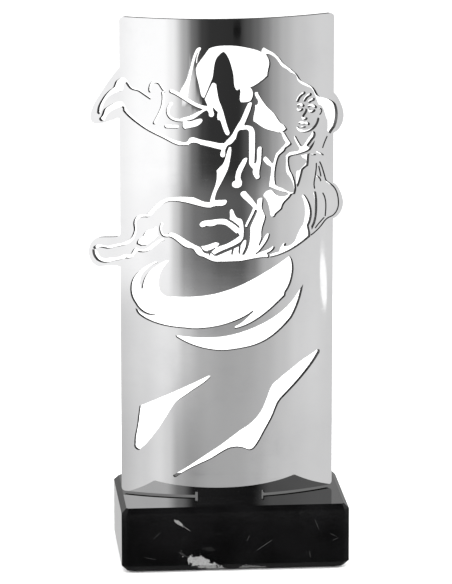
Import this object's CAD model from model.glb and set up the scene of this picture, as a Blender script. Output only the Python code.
import math

import bmesh
import bpy
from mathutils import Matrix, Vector


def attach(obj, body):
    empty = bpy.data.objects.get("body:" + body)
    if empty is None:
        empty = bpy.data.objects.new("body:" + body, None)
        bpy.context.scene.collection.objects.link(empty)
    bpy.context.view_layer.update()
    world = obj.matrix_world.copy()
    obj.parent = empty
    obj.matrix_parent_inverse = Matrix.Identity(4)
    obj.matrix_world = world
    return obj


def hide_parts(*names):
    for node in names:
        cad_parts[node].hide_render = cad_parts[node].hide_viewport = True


# A figure trophy: a rolled, mirror-polished steel sheet cut with a line drawing, in a black marble block.
# The CAD bodies come from the frame. The sheet is shown by a finer mesh of the same shape, because a
# mirror shows every facet. The block, the epoxy and the felt keep their CAD meshes.

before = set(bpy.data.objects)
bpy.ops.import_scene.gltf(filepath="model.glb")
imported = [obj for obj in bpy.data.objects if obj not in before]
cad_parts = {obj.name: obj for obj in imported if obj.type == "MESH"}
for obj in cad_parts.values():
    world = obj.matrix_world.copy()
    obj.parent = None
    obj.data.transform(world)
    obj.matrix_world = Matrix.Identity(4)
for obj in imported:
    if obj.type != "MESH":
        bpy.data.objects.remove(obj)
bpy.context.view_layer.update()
MM = 0.001

# ---- the sheet, as the CAD model has it ----
SHEET_RADIUS = 95.0 * MM
SHEET_THICKNESS = 2.0 * MM
SHEET_WIDTH = 98.0 * MM
SHEET_FRONT_Y = -12.8 * MM
SHEET_SHIFT_X = -1.3 * MM
SHEET_TURN = math.radians(1.4)
SHEET_SAG = SHEET_RADIUS * (1 - math.cos(SHEET_WIDTH / 2 / SHEET_RADIUS))
AXIS_BACK = SHEET_RADIUS - SHEET_SAG / 2  # from the turning point to the cylinder's axis
ON_FACE = 0.02 * MM  # points this near the front radius lie on the front face

# ---- mesh quality ----
COLUMN = 1.5  # width of the sheet's mesh columns, mm
ROW = 12.0  # height of its mesh rows, mm
SHARP = math.radians(32)  # a cut wall turns smoothly below this angle
WELD = 0.002 * MM  # the CAD mesh's points closer than this are one
ON_CUT = 1e-4  # mm; points this near a column's or row's line lie on it

# Two tongues of metal between the cuts seem to have sprung a little out of the curve, and catch the
# light from further round. Only their shading is turned. For each: its outline in (u, z), where the
# turn starts, where it is full, and its size as a length of curve, all in mm.
SPRUNG = (
    (
        (
            (-17.2, 223), (-20.4, 206.8), (-11.6, 202.6), (-12.9, 208.5), (-14.3, 214), (-15.8, 219),
            (-15.4, 223),
        ),
        (-15.6, 222.4),
        (-16.2, 219.4),
        -6.2,
    ),
    (
        ((-26, 208.2), (-11.9, 201.6), (-18, 198.4), (-26, 198.4)),
        (-22.5, 203),
        (-14, 202.4),
        -5.4,
    ),
)

# ---- camera ----
CAMERA_AZIMUTH = math.radians(-4.92)
CAMERA_ELEVATION = math.radians(13.29)
CAMERA_DISTANCE = 1.870
CAMERA_TARGET = Vector((-1.82 * MM, 0, 119.0 * MM))
IMAGE_HEIGHT = 584
FOCAL_LENGTH = 4259.65  # in the same unit as the image's height
SENSOR_HEIGHT = 24.0  # mm
CLIP_START = 0.05

# ---- studio ----
FLOOR_HALF = 6.0
SOFTBOX_SIZE = 1.6
SOFTBOX_TARGET = (0, 0, 0.1)
SOFTBOXES = (  # name, place, watts
    ("key_left", (-0.9, -0.8, 1.3), 30.0),
    ("fill_right", (1.0, -0.4, 1.1), 24.0),
)
SURROUND = 1.2  # the grey that every ray but a reflection sees
CEILING = 0.04  # the grey that reflections see overhead
BELOW = 0.12  # and underfoot

# The grey that reflections see all round, as (bearing in degrees, grey). 0 is in front, + to the right.
# Behind the object it is the same at every height, with a dark flat on each side.
REAR_LEFT = ((-180, 0.78), (-164, 0.4), (-146, 0.12), (-130, 0.25), (-114, 0.7))
REAR_RIGHT = ((112, 0.5), (128, 0.22), (146, 0.1), (163, 0.35), (180, 0.78))
FOOT = (
    (-106, 0.1), (-80, 0.06), (-62, 0.5), (-40, 0.66), (-30, 0.6), (-22, 0.1), (-14, 0.03), (28, 0.03),
    (40, 0.3), (56, 0.6), (66, 0.6), (82, 0.06), (104, 0.08),
)
NEAR = (
    (-90, 0.9), (-54, 0.52), (-40, 0.66), (-31, 0.75), (-26, 0.66), (-21, 0.42), (-14, 0.34), (-2, 0.4),
    (12, 0.41), (22, 0.46), (32, 0.55), (41, 0.59), (56, 0.63), (66, 0.63),
)
LOW = (
    (-90, 0.9), (-54, 0.64), (-40, 0.75), (-28, 0.84), (-22, 0.8), (-16.4, 0.62), (-7, 0.46), (6, 0.4),
    (17, 0.42), (27, 0.48), (37, 0.57), (46, 0.67), (56, 0.7), (66, 0.65),
)
MIDDLE = (
    (-90, 0.95), (-54, 0.92), (-40, 1.0), (-26, 0.98), (-21, 0.62), (-16.4, 0.28), (-10, 0.17), (3, 0.11),
    (14, 0.1), (20, 0.2), (27, 0.46), (37, 0.6), (50, 0.68), (66, 0.7),
)
HIGH = (
    (-90, 0.95), (-54, 0.95), (-40, 1.06), (-28, 1.06), (-23, 0.93), (-16.4, 0.42), (-11.6, 0.15),
    (-6.8, 0.05), (-2, 0.032), (12, 0.028), (17.3, 0.085), (22, 0.14), (27, 0.24), (32, 0.37), (37, 0.48),
    (46, 0.6), (60, 0.68),
)
UPPER = (
    (-90, 1.2), (-60, 1.4), (-46, 1.7), (-28, 1.7), (-20, 0.6), (-12, 0.03), (20, 0.012), (32, 0.3),
    (60, 0.36),
)
# Each ring above the foot, and the heights between which it takes over from the one below. A height
# is the upward part of a direction of length 1.
RINGS = (
    (NEAR, -0.2815, -0.2745),
    (LOW, -0.268, -0.243),
    (MIDDLE, -0.2385, -0.2235),
    (HIGH, -0.209, -0.203),
    (UPPER, 0.1, 0.2),
)
CEILING_FROM, CEILING_FULL = 0.6, 0.8
BELOW_FROM, BELOW_FULL = -0.5, -0.7
# Small ovals: bearing, height, half width in degrees, half height, lean in degrees, grey.
SPOTS = (
    (62.4, -0.2275, 2.3, 0.0068, 1.0, 1.15),  # a white sliver
    (11.5, -0.167, 2.3, 0.0019, 0.0, 0.004),  # a dark spot
)


# ---- the sheet's mesh ----
def unroll(point):
    """Where a point lies on the sheet: along the curve, up, and out from the cylinder's axis."""
    x = point.x - SHEET_SHIFT_X
    y = point.y - SHEET_FRONT_Y - SHEET_SAG / 2
    across = x * math.cos(SHEET_TURN) + y * math.sin(SHEET_TURN)
    inward = y * math.cos(SHEET_TURN) - x * math.sin(SHEET_TURN)
    angle = math.atan2(across, AXIS_BACK - inward)
    return angle * SHEET_RADIUS, point.z, math.hypot(across, AXIS_BACK - inward)


def outward(u):
    """The direction straight out of the sheet's front at u."""
    angle = u / SHEET_RADIUS + SHEET_TURN
    return Vector((math.sin(angle), -math.cos(angle), 0))


def roll(u, z, radius):
    """The point of the rolled sheet at u and z, at a radius from the cylinder's axis."""
    axis = Vector((
        SHEET_SHIFT_X - AXIS_BACK * math.sin(SHEET_TURN),
        SHEET_FRONT_Y + SHEET_SAG / 2 + AXIS_BACK * math.cos(SHEET_TURN),
        z,
    ))
    return axis + outward(u) * radius


def inside(corners, u, z):
    """Whether (u, z) lies within the polygon."""
    hit = False
    for (u0, z0), (u1, z1) in zip(corners, corners[1:] + corners[:1]):
        if (z0 > z) != (z1 > z) and u < u0 + (u1 - u0) * (z - z0) / (z1 - z0):
            hit = not hit
    return hit


def sprung(u, z):
    """How far round the curve the metal at u and z seems to have turned, in metres of curve."""
    for corners, start, full, turn in SPRUNG:
        if inside(corners, u / MM, z / MM):
            along = (full[0] - start[0], full[1] - start[1])
            part = (u / MM - start[0]) * along[0] + (z / MM - start[1]) * along[1]
            part = min(1.0, max(0.0, part / (along[0] ** 2 + along[1] ** 2)))
            return turn * MM * part * part * (3 - 2 * part)
    return 0.0


def flat_front(node):
    """The front face of the CAD sheet laid flat in millimetres, cut into even columns and rows."""
    source = bmesh.new()
    source.from_mesh(node.data)
    bmesh.ops.remove_doubles(source, verts=source.verts, dist=WELD)
    places = {v: unroll(v.co) for v in source.verts}
    inner = [v for v, (_, _, radius) in places.items() if radius < SHEET_RADIUS - ON_FACE]
    bmesh.ops.delete(source, geom=inner, context="VERTS")
    bmesh.ops.delete(source, geom=[v for v in source.verts if not v.link_faces], context="VERTS")
    for v in source.verts:
        u, z, _ = places[v]
        v.co = Vector((u / MM, z / MM, 0))
    for axis, step in ((0, COLUMN), (1, ROW)):
        low = math.ceil(min(v.co[axis] for v in source.verts) / step)
        high = math.floor(max(v.co[axis] for v in source.verts) / step)
        normal = Vector((1, 0, 0)) if axis == 0 else Vector((0, 1, 0))
        for k in range(low, high + 1):
            every = source.verts[:] + source.edges[:] + source.faces[:]
            place = normal * (k * step)
            bmesh.ops.bisect_plane(source, geom=every, plane_co=place, plane_no=normal, dist=ON_CUT)
    bmesh.ops.triangulate(source, faces=[f for f in source.faces if len(f.verts) > 3])
    return source


def boundary_loops(flat):
    """Each cut or outer edge as a closed list of vertices, with the metal on its left."""
    follows = {}
    for edge in flat.edges:
        if len(edge.link_faces) == 1:
            loop = edge.link_loops[0]
            follows[loop.vert] = loop.link_loop_next.vert
    loops = []
    while follows:
        start, here = follows.popitem()
        loop = [start]
        while here is not start:
            loop.append(here)
            here = follows.pop(here)
        loops.append(loop)
    return loops


def wall_normals(corners):
    """For each stretch of a cut edge, the wall's normal at its two ends, smooth except at corners."""
    count = len(corners)
    flat = []
    for i in range(count):
        along = corners[(i + 1) % count] - corners[i]
        flat.append(Vector((along.y, -along.x)).normalized())
    ends = []
    for i in range(count):
        pair = []
        for neighbour in (flat[i - 1], flat[(i + 1) % count]):
            smooth = flat[i].angle(neighbour, math.pi) < SHARP
            pair.append((flat[i] + neighbour).normalized() if smooth else flat[i])
        ends.append(pair)
    return ends


def sheet_mesh(node):
    """The rolled sheet as one closed mesh: front, back, and cut walls square to the face."""
    flat = flat_front(node)
    flat.verts.index_update()
    places = [(v.co.x * MM, v.co.y * MM) for v in flat.verts]
    count = len(places)
    points = [roll(u, z, SHEET_RADIUS) for u, z in places]
    points += [roll(u, z, SHEET_RADIUS - SHEET_THICKNESS) for u, z in places]
    faces, normals, slots, marks = [], [], [], []
    for face in flat.faces:
        front = [v.index for v in face.verts]
        if face.normal.z < 0:
            front.reverse()
        back = [count + i for i in reversed(front)]
        faces += [front, back]
        normals += [outward(places[i][0] + sprung(*places[i])) for i in front]
        normals += [-outward(places[i - count][0]) for i in back]
        marks += [(places[i][0], places[i][1]) for i in front]
        marks += [(places[i - count][0], places[i - count][1]) for i in back]
        slots += [0, 0]
    for loop in boundary_loops(flat):
        corners = [Vector((v.co.x, v.co.y)) for v in loop]
        ends = wall_normals(corners)
        run = 0.0
        for i, vert in enumerate(loop):
            after = loop[(i + 1) % len(loop)]
            length = (corners[(i + 1) % len(loop)] - corners[i]).length * MM
            a, b = vert.index, after.index
            faces.append([b, a, count + a, count + b])
            for end, at in ((1, b), (0, a), (0, a), (1, b)):
                normal = ends[i][end]
                out = outward(places[at][0])
                sideways = Vector((-out.y, out.x, 0))
                normals.append(sideways * normal.x + Vector((0, 0, normal.y)))
            marks += [(run + length, 0), (run, 0), (run, SHEET_THICKNESS), (run + length, SHEET_THICKNESS)]
            slots.append(1)
            run += length
    flat.free()
    mesh = bpy.data.meshes.new("figure_sheet_polished")
    mesh.from_pydata(points, [], faces)
    mesh.polygons.foreach_set("material_index", slots)
    layer = mesh.uv_layers.new(name="along")
    layer.data.foreach_set("uv", [value for mark in marks for value in mark])
    mesh.polygons.foreach_set("use_smooth", [True] * len(faces))
    mesh.update()
    mesh.normals_split_custom_set(normals)
    return mesh


# ---- a little help with nodes ----
class Nodes:
    """Adds shader nodes to one tree; every method returns an output socket."""

    def __init__(self, tree):
        self.tree = tree
        tree.nodes.clear()

    def node(self, kind, inputs=(), **settings):
        made = self.tree.nodes.new(kind)
        for name, value in settings.items():
            setattr(made, name, value)
        for key, value in dict(inputs).items():
            self.put(made.inputs[key], value)
        return made

    def put(self, socket, value):
        if isinstance(value, bpy.types.NodeSocket):
            self.tree.links.new(value, socket)
        else:
            socket.default_value = value

    def math(self, operation, *values, clamp=False):
        inputs = dict(enumerate(values))
        return self.node("ShaderNodeMath", inputs, operation=operation, use_clamp=clamp).outputs[0]

    def split(self, vector):
        return self.node("ShaderNodeSeparateXYZ", {0: vector}).outputs

    def join(self, x, y, z):
        return self.node("ShaderNodeCombineXYZ", {0: x, 1: y, 2: z}).outputs[0]

    def mapped(self, vector, scale, turn=(0, 0, 0)):
        inputs = {"Vector": vector, "Scale": scale, "Rotation": turn}
        return self.node("ShaderNodeMapping", inputs).outputs[0]

    def noise(self, vector, scale, detail=2.0, roughness=0.5, distortion=0.0):
        inputs = {
            "Vector": vector,
            "Scale": scale,
            "Detail": detail,
            "Roughness": roughness,
            "Distortion": distortion,
        }
        return self.node("ShaderNodeTexNoise", inputs).outputs["Fac"]

    def ramp(self, value, *stops):
        """A grey ramp through rising stops of (place, grey)."""
        made = self.node("ShaderNodeValToRGB", {"Fac": value})
        elements = made.color_ramp.elements
        elements.remove(elements[1])
        elements[0].position = stops[0][0]
        for place, _ in stops[1:]:
            elements.new(place)
        for element, (_, grey) in zip(elements, stops):
            element.color = (grey, grey, grey, 1)
        made.color_ramp.interpolation = "EASE"
        return made.outputs["Color"]

    def range(self, value, low, high, start=0.0, end=1.0):
        inputs = {"Value": value, "From Min": low, "From Max": high, "To Min": start, "To Max": end}
        made = self.node("ShaderNodeMapRange", inputs, interpolation_type="SMOOTHSTEP")
        return made.outputs["Result"]

    def mix(self, factor, a, b):
        made = self.node("ShaderNodeMix", data_type="RGBA")
        self.put(made.inputs[0], factor)
        for socket, value in ((made.inputs[6], a), (made.inputs[7], b)):
            self.put(socket, value if isinstance(value, bpy.types.NodeSocket) else (*value, 1))
        return made.outputs[2]

    def bump(self, height, strength, distance):
        inputs = {"Height": height, "Strength": strength, "Distance": distance}
        return self.node("ShaderNodeBump", inputs).outputs[0]


def material(name):
    made = bpy.data.materials.new(name)
    made.use_nodes = True
    return made, Nodes(made.node_tree)


def surface(nodes, **inputs):
    names = {key.replace("_", " "): value for key, value in inputs.items()}
    shader = nodes.node("ShaderNodeBsdfPrincipled", names)
    nodes.node("ShaderNodeOutputMaterial", {"Surface": shader.outputs[0]})


# ---- materials ----
def mirror_steel():
    """Polished stainless: nearly a mirror, with a faint rolling wave, wiping marks and a soft haze."""
    made, n = material("mirror_steel")
    place = n.node("ShaderNodeTexCoord").outputs["Object"]
    wave = n.noise(n.mapped(place, (14, 14, 5)), 1.0, 1.0)
    wipes = n.noise(n.mapped(place, (60, 60, 900), (0, 0.5, 0)), 1.0, 3.0, 0.6)
    haze = n.noise(place, 45.0, 4.0, 0.6)
    rough = n.math("ADD", n.range(haze, 0.45, 0.75, 0.025, 0.06), n.range(wipes, 0.5, 0.8, 0.0, 0.02))
    tint = n.mix(n.range(haze, 0.4, 0.8), (0.93, 0.93, 0.935), (0.88, 0.88, 0.89))
    ripple = n.bump(wave, 0.35, 0.0012)
    surface(n, Base_Color=tint, Metallic=1.0, Roughness=rough, Normal=ripple)
    return made


def cut_edge():
    """The laser-cut wall: darker, with fine ridges across the sheet's thickness."""
    made, n = material("laser_cut_edge")
    along = n.node("ShaderNodeUVMap", uv_map="along").outputs[0]
    ridges = n.noise(n.mapped(along, (4200, 260, 1)), 1.0, 2.0)
    soot = n.noise(n.mapped(along, (300, 500, 1)), 1.0, 3.0)
    tint = n.mix(n.range(soot, 0.35, 0.7), (0.27, 0.27, 0.272), (0.14, 0.138, 0.136))
    rough = n.range(ridges, 0.3, 0.7, 0.24, 0.42)
    surface(n, Base_Color=tint, Metallic=1.0, Roughness=rough, Specular_Tint=(0.3, 0.3, 0.3, 1),
            Normal=n.bump(ridges, 0.5, 0.00004))
    return made


def blotch(n, place, centre, size, turn, ragged, grain):
    """A soft-edged patch on the block's faces, around a centre in millimetres (x, z)."""
    x, _, z = place
    across = n.math("SUBTRACT", x, centre[0])
    up = n.math("SUBTRACT", z, centre[1])
    cos, sin = math.cos(math.radians(turn)), math.sin(math.radians(turn))
    along = n.math("ADD", n.math("MULTIPLY", across, cos), n.math("MULTIPLY", up, sin))
    over = n.math("SUBTRACT", n.math("MULTIPLY", up, cos), n.math("MULTIPLY", across, sin))
    far = n.math("POWER", n.math("DIVIDE", along, size[0]), 2.0)
    far = n.math("ADD", far, n.math("POWER", n.math("DIVIDE", over, size[1]), 2.0))
    far = n.math("ADD", n.math("SQRT", far), n.math("MULTIPLY", n.math("SUBTRACT", grain, 0.5), ragged))
    return n.range(far, 1.05, 0.8)


# The marble's patches and scratches: centre (x, z) and half-size in mm, turn in degrees, raggedness,
# whiteness. Each runs straight through the block from front to back.
VEINS = (
    ((-13.2, 3.4), (8.4, 2.5), -24, 3.4, 0.30),
    ((-17.8, 6.0), (3.4, 1.5), -8, 2.8, 0.26),
    ((7.4, 1.0), (6.0, 1.3), -3, 3.0, 0.15),
    ((-24.8, 22.6), (2.4, 0.85), -38, 2.0, 0.22),
    ((-21.8, 20.3), (2.2, 0.2), -36, 1.4, 0.12),
    ((12.4, 11.7), (4.4, 0.12), 34, 0.9, 0.07),
    ((5.4, 15.2), (1.3, 0.1), 62, 1.0, 0.05),
    ((35.6, 20.6), (2.4, 0.14), 112, 2.0, 0.035),
    ((43.4, 13.6), (1.8, 0.16), 24, 2.4, 0.035),
    ((43.0, 15.6), (1.5, 0.14), 152, 2.4, 0.03),
    ((32.6, 7.0), (1.4, 0.16), 98, 2.0, 0.035),
    ((-34.5, 17.4), (2.4, 0.12), 44, 1.4, 0.03),
    ((-38.0, 7.0), (3.0, 0.14), -14, 2.0, 0.03),
    ((-12.0, 10.6), (2.2, 0.9), -6, 3.0, 0.008),
    ((-23.0, 8.2), (2.4, 0.5), -30, 3.0, 0.02),
)
HAIR_SCALE = 0.055  # of the net of fine veins, per mm
HAIR_BEND = 26  # mm
HAIR_WIDTH = 0.006  # of the net's cells
HAIR_WHITENESS = 0.012
SPECK_WHITENESS = 0.03


def black_marble():
    """Polished black marble: a few white patches and hair veins, pale specks, and a hard gloss."""
    made, n = material("black_marble")
    metres = n.node("ShaderNodeTexCoord").outputs["Object"]
    place = n.node("ShaderNodeVectorMath", {0: metres, 1: (1 / MM,) * 3}, operation="MULTIPLY").outputs[0]
    parts = n.split(place)
    grain = n.noise(place, 0.42, 5.0, 0.65)
    white = None
    for centre, size, turn, ragged, strength in VEINS:
        patch = n.math("MULTIPLY", blotch(n, parts, centre, size, turn, ragged, grain), strength)
        white = patch if white is None else n.math("MAXIMUM", white, patch)
    mottle = n.noise(place, 1.3, 6.0, 0.75)
    white = n.math("MULTIPLY", white, n.range(mottle, 0.25, 0.6, 0.45, 1.0))
    bend = n.math("MULTIPLY", n.noise(place, 0.09, 4.0, 0.6), HAIR_BEND)
    bent = n.join(n.math("ADD", parts[0], bend), parts[1], parts[2])
    net = {"Vector": bent, "Scale": HAIR_SCALE, "Randomness": 1.0}
    hairs = n.node("ShaderNodeTexVoronoi", net, feature="DISTANCE_TO_EDGE")
    hair = n.range(hairs.outputs["Distance"], HAIR_WIDTH, 0.0)
    broken = n.range(n.noise(place, 0.16, 3.0), 0.56, 0.66)
    hair = n.math("MULTIPLY", n.math("MULTIPLY", hair, broken), HAIR_WHITENESS)
    specks = n.range(n.noise(place, 1.6, 2.0, 0.5), 0.7, 0.84, 0.0, SPECK_WHITENESS)
    white = n.math("MAXIMUM", white, n.math("MAXIMUM", hair, specks))
    cloud = n.noise(place, 0.05, 4.0)
    black = n.mix(n.range(cloud, 0.35, 0.7), (0.0012, 0.0012, 0.0013), (0.0032, 0.0032, 0.0034))
    colour = n.mix(white, black, (0.78, 0.78, 0.77))
    rough = n.math("ADD", 0.035, n.math("MULTIPLY", white, 0.12))
    surface(n, Base_Color=colour, Roughness=rough, IOR=1.5, Normal=n.bump(grain, 0.02, 0.0002))
    return made


def black_epoxy():
    """Cast epoxy, cured flush: black and glossy, with a faint orange-peel skin."""
    made, n = material("black_epoxy")
    place = n.node("ShaderNodeTexCoord").outputs["Object"]
    skin = n.noise(place, 380.0, 2.0)
    dust = n.range(n.noise(place, 2600.0, 1.0), 0.72, 0.8)
    colour = n.mix(dust, (0.003, 0.003, 0.0032), (0.03, 0.03, 0.03))
    surface(n, Base_Color=colour, Roughness=n.range(skin, 0.3, 0.7, 0.07, 0.13), IOR=1.55,
            Normal=n.bump(skin, 0.12, 0.0002))
    return made


def felt():
    """Dense black wool felt."""
    made, n = material("felt")
    place = n.node("ShaderNodeTexCoord").outputs["Object"]
    fibres = n.noise(n.mapped(place, (1500, 900, 1500)), 1.0, 5.0, 0.7, 0.8)
    clumps = n.noise(place, 260.0, 3.0)
    colour = n.mix(n.math("MULTIPLY", fibres, clumps), (0.012, 0.012, 0.013), (0.07, 0.07, 0.072))
    surface(n, Base_Color=colour, Roughness=0.95, Sheen_Weight=0.4, Sheen_Roughness=0.5,
            Normal=n.bump(fibres, 0.6, 0.0003))
    return made


# ---- pieces ----
def finish(obj, *materials):
    """Gives the piece these materials, in the order of its slots."""
    if obj.data.materials:  # clearing also forgets which faces are the cut walls
        obj.data.materials.clear()
    for made in materials:
        obj.data.materials.append(made)


def polished_sheet():
    """The finer mesh that is shown in place of the CAD sheet."""
    obj = bpy.data.objects.new("figure_sheet_polished", sheet_mesh(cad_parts["figure_sheet"]))
    bpy.context.scene.collection.objects.link(obj)
    finish(obj, mirror_steel(), cut_edge())
    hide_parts("figure_sheet")
    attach(obj, "root")


# ---- the studio ----
def floor():
    """A plain pale floor, which reflections don't see."""
    mesh = bpy.data.meshes.new("floor")
    half = FLOOR_HALF
    corners = [(-half, -half, 0), (half, -half, 0), (half, half, 0), (-half, half, 0)]
    mesh.from_pydata(corners, [], [(0, 1, 2, 3)])
    obj = bpy.data.objects.new("floor", mesh)
    bpy.context.scene.collection.objects.link(obj)
    made, n = material("pale_floor")
    place = n.node("ShaderNodeTexCoord").outputs["Object"]
    colour = n.mix(n.noise(place, 30.0, 2.0), (0.93, 0.93, 0.93), (0.95, 0.95, 0.95))
    surface(n, Base_Color=colour, Roughness=0.7)
    finish(obj, made)
    obj.visible_glossy = False  # the studio in the world shader is what the steel reflects


def studio():
    """What reflections see: white on the left, a dark gap in front, grey on the right."""
    world = bpy.data.worlds.new("studio")
    bpy.context.scene.world = world
    world.use_nodes = True
    n = Nodes(world.node_tree)
    x, y, z = n.split(n.node("ShaderNodeTexCoord").outputs["Generated"])
    bearing = n.math("ARCTAN2", x, n.math("MULTIPLY", y, -1.0))

    def around(stops):
        """A ring of greys at every bearing, with the shared tones behind the object."""
        turn = [((degrees + 180) / 360, grey) for degrees, grey in (*REAR_LEFT, *stops, *REAR_RIGHT)]
        return n.ramp(n.math("ADD", n.math("DIVIDE", bearing, 2 * math.pi), 0.5), *turn)

    def spot(degrees, height, half_width, half_height, lean):
        """1 inside a small oval, 0 outside. It leans by lean degrees of bearing per half height."""
        off = n.math("SUBTRACT", n.math("DEGREES", bearing), degrees)
        rise = n.math("DIVIDE", n.math("SUBTRACT", z, height), half_height)
        off = n.math("DIVIDE", n.math("ADD", off, n.math("MULTIPLY", rise, lean)), half_width)
        far = n.math("ADD", n.math("MULTIPLY", off, off), n.math("MULTIPLY", rise, rise))
        return n.range(far, 1.1, 0.8)

    walls = around(FOOT)
    for ring, start, full in RINGS:
        walls = n.mix(n.range(z, start, full), walls, around(ring))
    for *oval, grey in SPOTS:
        walls = n.mix(spot(*oval), walls, (grey,) * 3)
    walls = n.mix(n.range(z, BELOW_FROM, BELOW_FULL), walls, (BELOW,) * 3)
    light = n.mix(n.range(z, CEILING_FROM, CEILING_FULL), walls, (CEILING,) * 3)
    ray = n.node("ShaderNodeLightPath").outputs
    seen = n.mix(ray["Is Glossy Ray"], (SURROUND,) * 3, light)
    shader = n.node("ShaderNodeBackground", {"Color": seen, "Strength": 1.0})
    n.node("ShaderNodeOutputWorld", {"Surface": shader.outputs[0]})


def softbox(name, place, power):
    """A square area light that reflections don't see."""
    data = bpy.data.lights.new(name, "AREA")
    data.shape = "SQUARE"
    data.size = SOFTBOX_SIZE
    data.energy = power
    obj = bpy.data.objects.new(name, data)
    obj.location = place
    obj.rotation_euler = (Vector(SOFTBOX_TARGET) - Vector(place)).to_track_quat("-Z", "Y").to_euler()
    obj.visible_glossy = False
    bpy.context.scene.collection.objects.link(obj)


def camera():
    """The camera, at the fitted bearing, height and distance."""
    data = bpy.data.cameras.new("camera")
    data.sensor_fit = "VERTICAL"
    data.sensor_height = SENSOR_HEIGHT
    data.lens = SENSOR_HEIGHT * FOCAL_LENGTH / IMAGE_HEIGHT
    data.clip_start = CLIP_START
    back = Vector((
        math.sin(CAMERA_AZIMUTH) * math.cos(CAMERA_ELEVATION),
        -math.cos(CAMERA_AZIMUTH) * math.cos(CAMERA_ELEVATION),
        math.sin(CAMERA_ELEVATION),
    ))
    obj = bpy.data.objects.new("camera", data)
    obj.location = CAMERA_TARGET + back * CAMERA_DISTANCE
    obj.rotation_euler = back.to_track_quat("Z", "Y").to_euler()
    bpy.context.scene.collection.objects.link(obj)
    bpy.context.scene.camera = obj


polished_sheet()
finish(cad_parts["marble_base"], black_marble())
finish(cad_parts["epoxy_fill"], black_epoxy())
finish(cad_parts["felt_pad"], felt())
floor()
studio()
for name, place, power in SOFTBOXES:
    softbox(name, place, power)
camera()
bpy.context.scene.view_settings.view_transform = "Standard"
